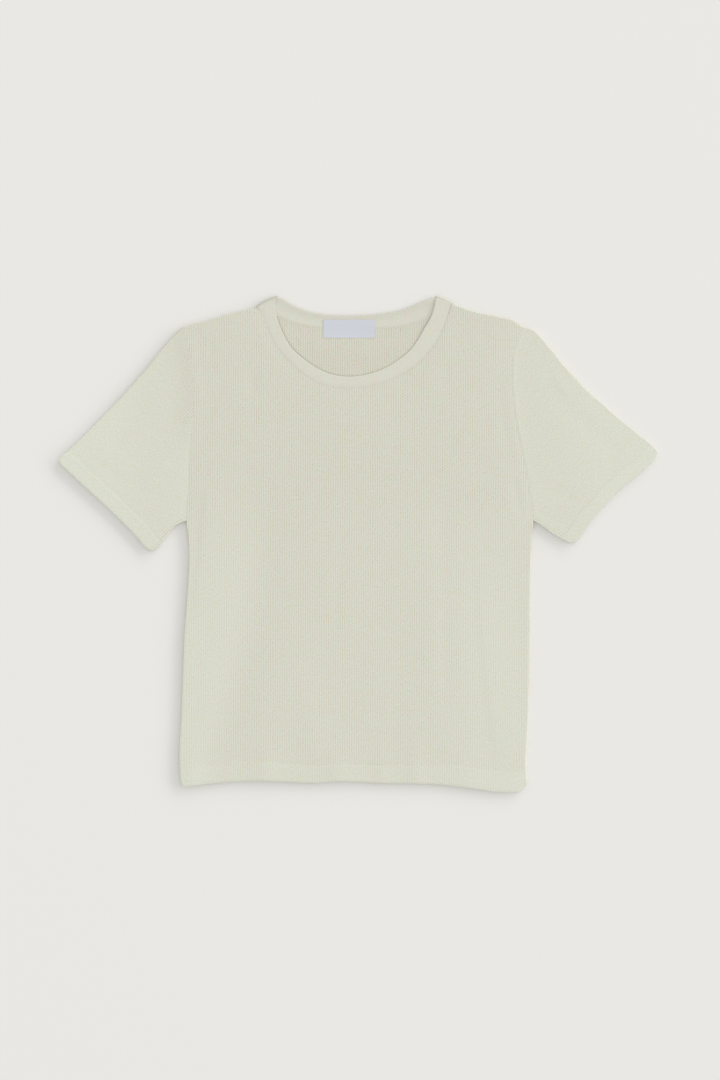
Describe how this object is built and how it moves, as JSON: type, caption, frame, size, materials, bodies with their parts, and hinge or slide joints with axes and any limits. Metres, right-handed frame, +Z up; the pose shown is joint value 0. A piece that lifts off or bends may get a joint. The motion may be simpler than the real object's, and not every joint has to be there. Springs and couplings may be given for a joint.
{
  "type": "crop top",
  "caption": "Short-sleeved round-neck crop top in fine openwork knit, laid flat face up with its sleeves spread, with turned hems, a doubled neckband and a blank woven label",
  "frame": {"origin": "middle of the garment's outline, on the surface that it lies on", "axes": "+X across the garment, towards the right of the picture; +Y from the hem to the neck; +Z up, out of the front panel"},
  "size_m": [0.66, 0.5428, 0.0065],
  "materials": {
    "openwork_knit": "matt cream cotton-blend knit with fine columns of small eyelets",
    "band_knit": "matt cream doubled knit, smoother and denser than the body",
    "label_weave": "smooth pale woven ribbon with a slight satin sheen, bare"
  },
  "bodies": {
    "root": {"front": "openwork_knit", "back": "openwork_knit", "sleeve_left": "openwork_knit", "sleeve_right": "openwork_knit", "neckband": "band_knit", "label": "label_weave"}
  },
  "joints": []
}
